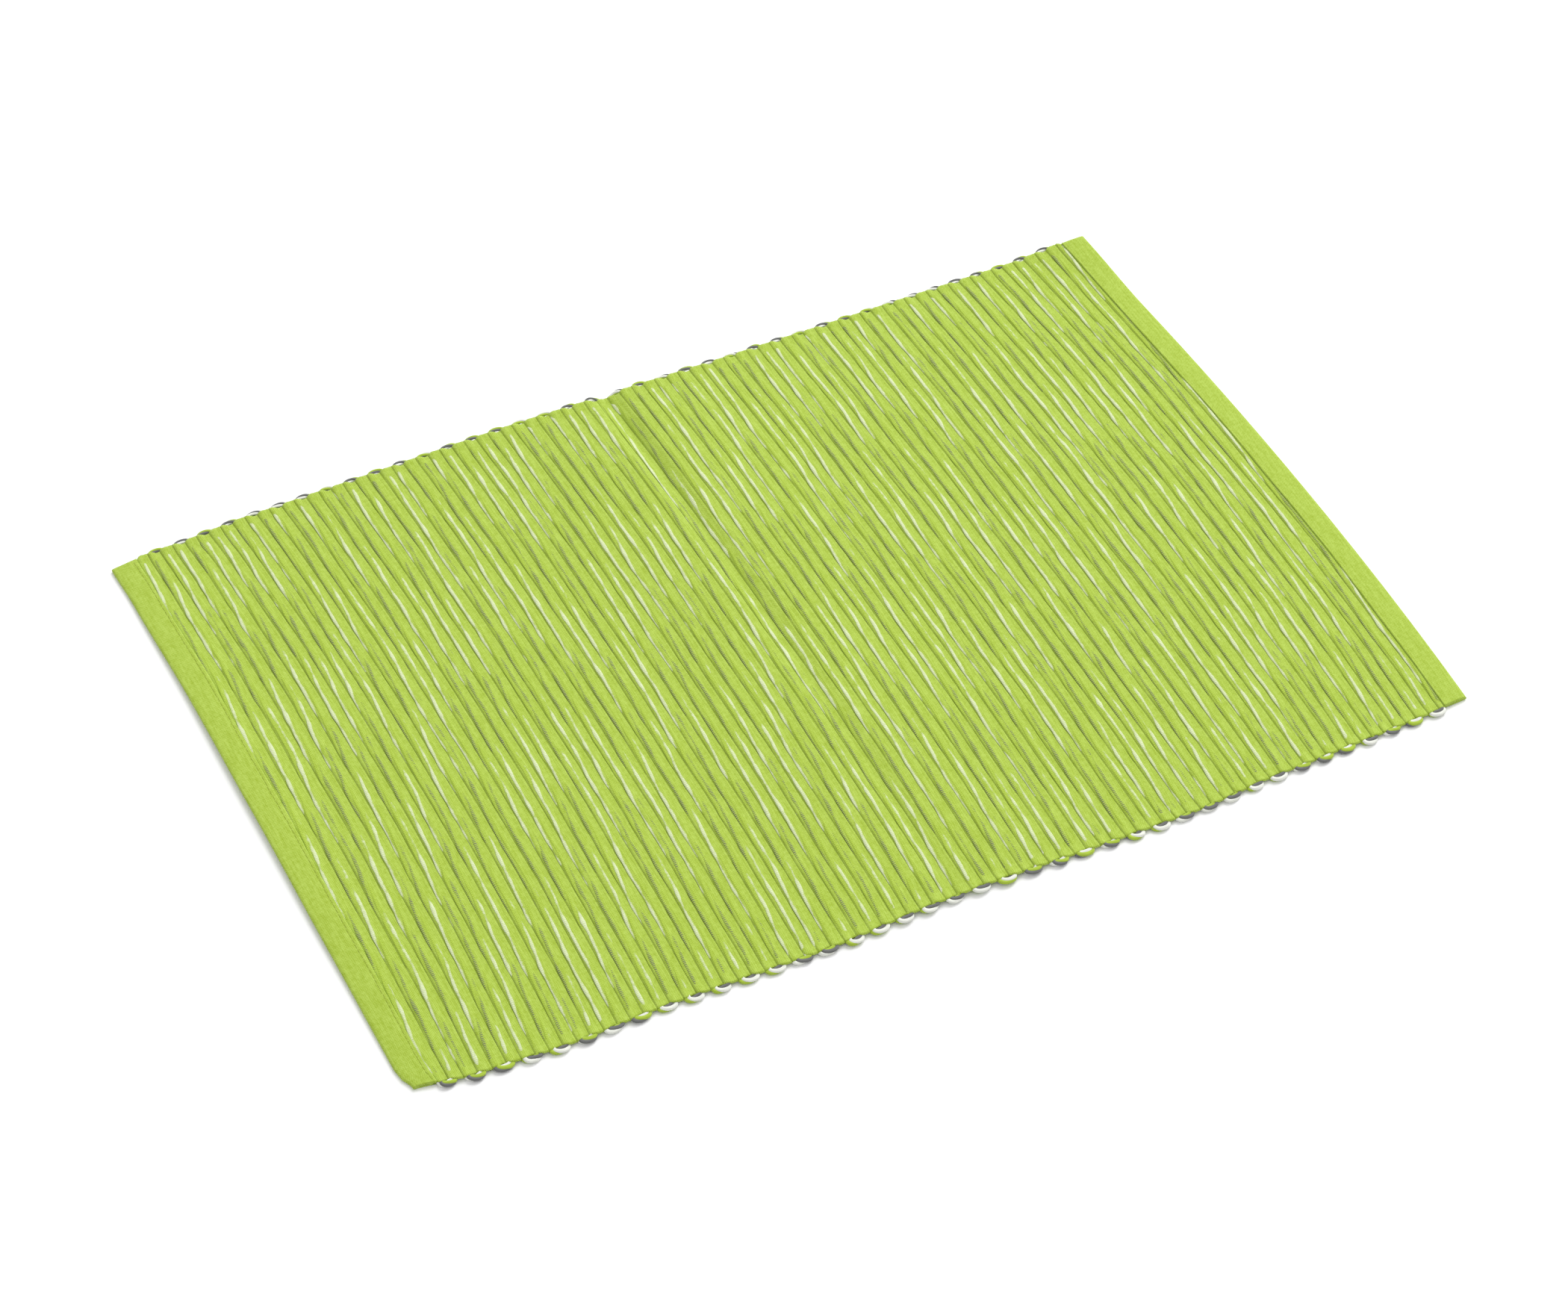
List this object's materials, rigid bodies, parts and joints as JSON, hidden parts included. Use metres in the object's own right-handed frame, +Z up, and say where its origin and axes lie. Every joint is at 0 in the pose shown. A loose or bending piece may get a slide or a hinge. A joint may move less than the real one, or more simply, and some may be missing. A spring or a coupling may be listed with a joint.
{
  "type": "placemat",
  "caption": "Flat woven cotton placemat with raised weft ribs across it, a turned hem at each short end and weft loops along both long edges.",
  "frame": {"origin": "on the table, under the middle of the mat's box", "axes": "+X along the mat's length to the right, +Y to the back, +Z up from the table"},
  "size_m": [0.4654, 0.3326, 0.0074],
  "materials": {
    "lime_cotton": "matt ribbed weave, lime warp with white and grey weft showing in the ribs",
    "white_cotton": "soft spun yarn, matt",
    "grey_cotton": "soft spun yarn, matt",
    "sewing_thread": "fine twisted thread"
  },
  "bodies": {
    "root": {"placemat_cloth": "lime_cotton"}
  },
  "joints": []
}
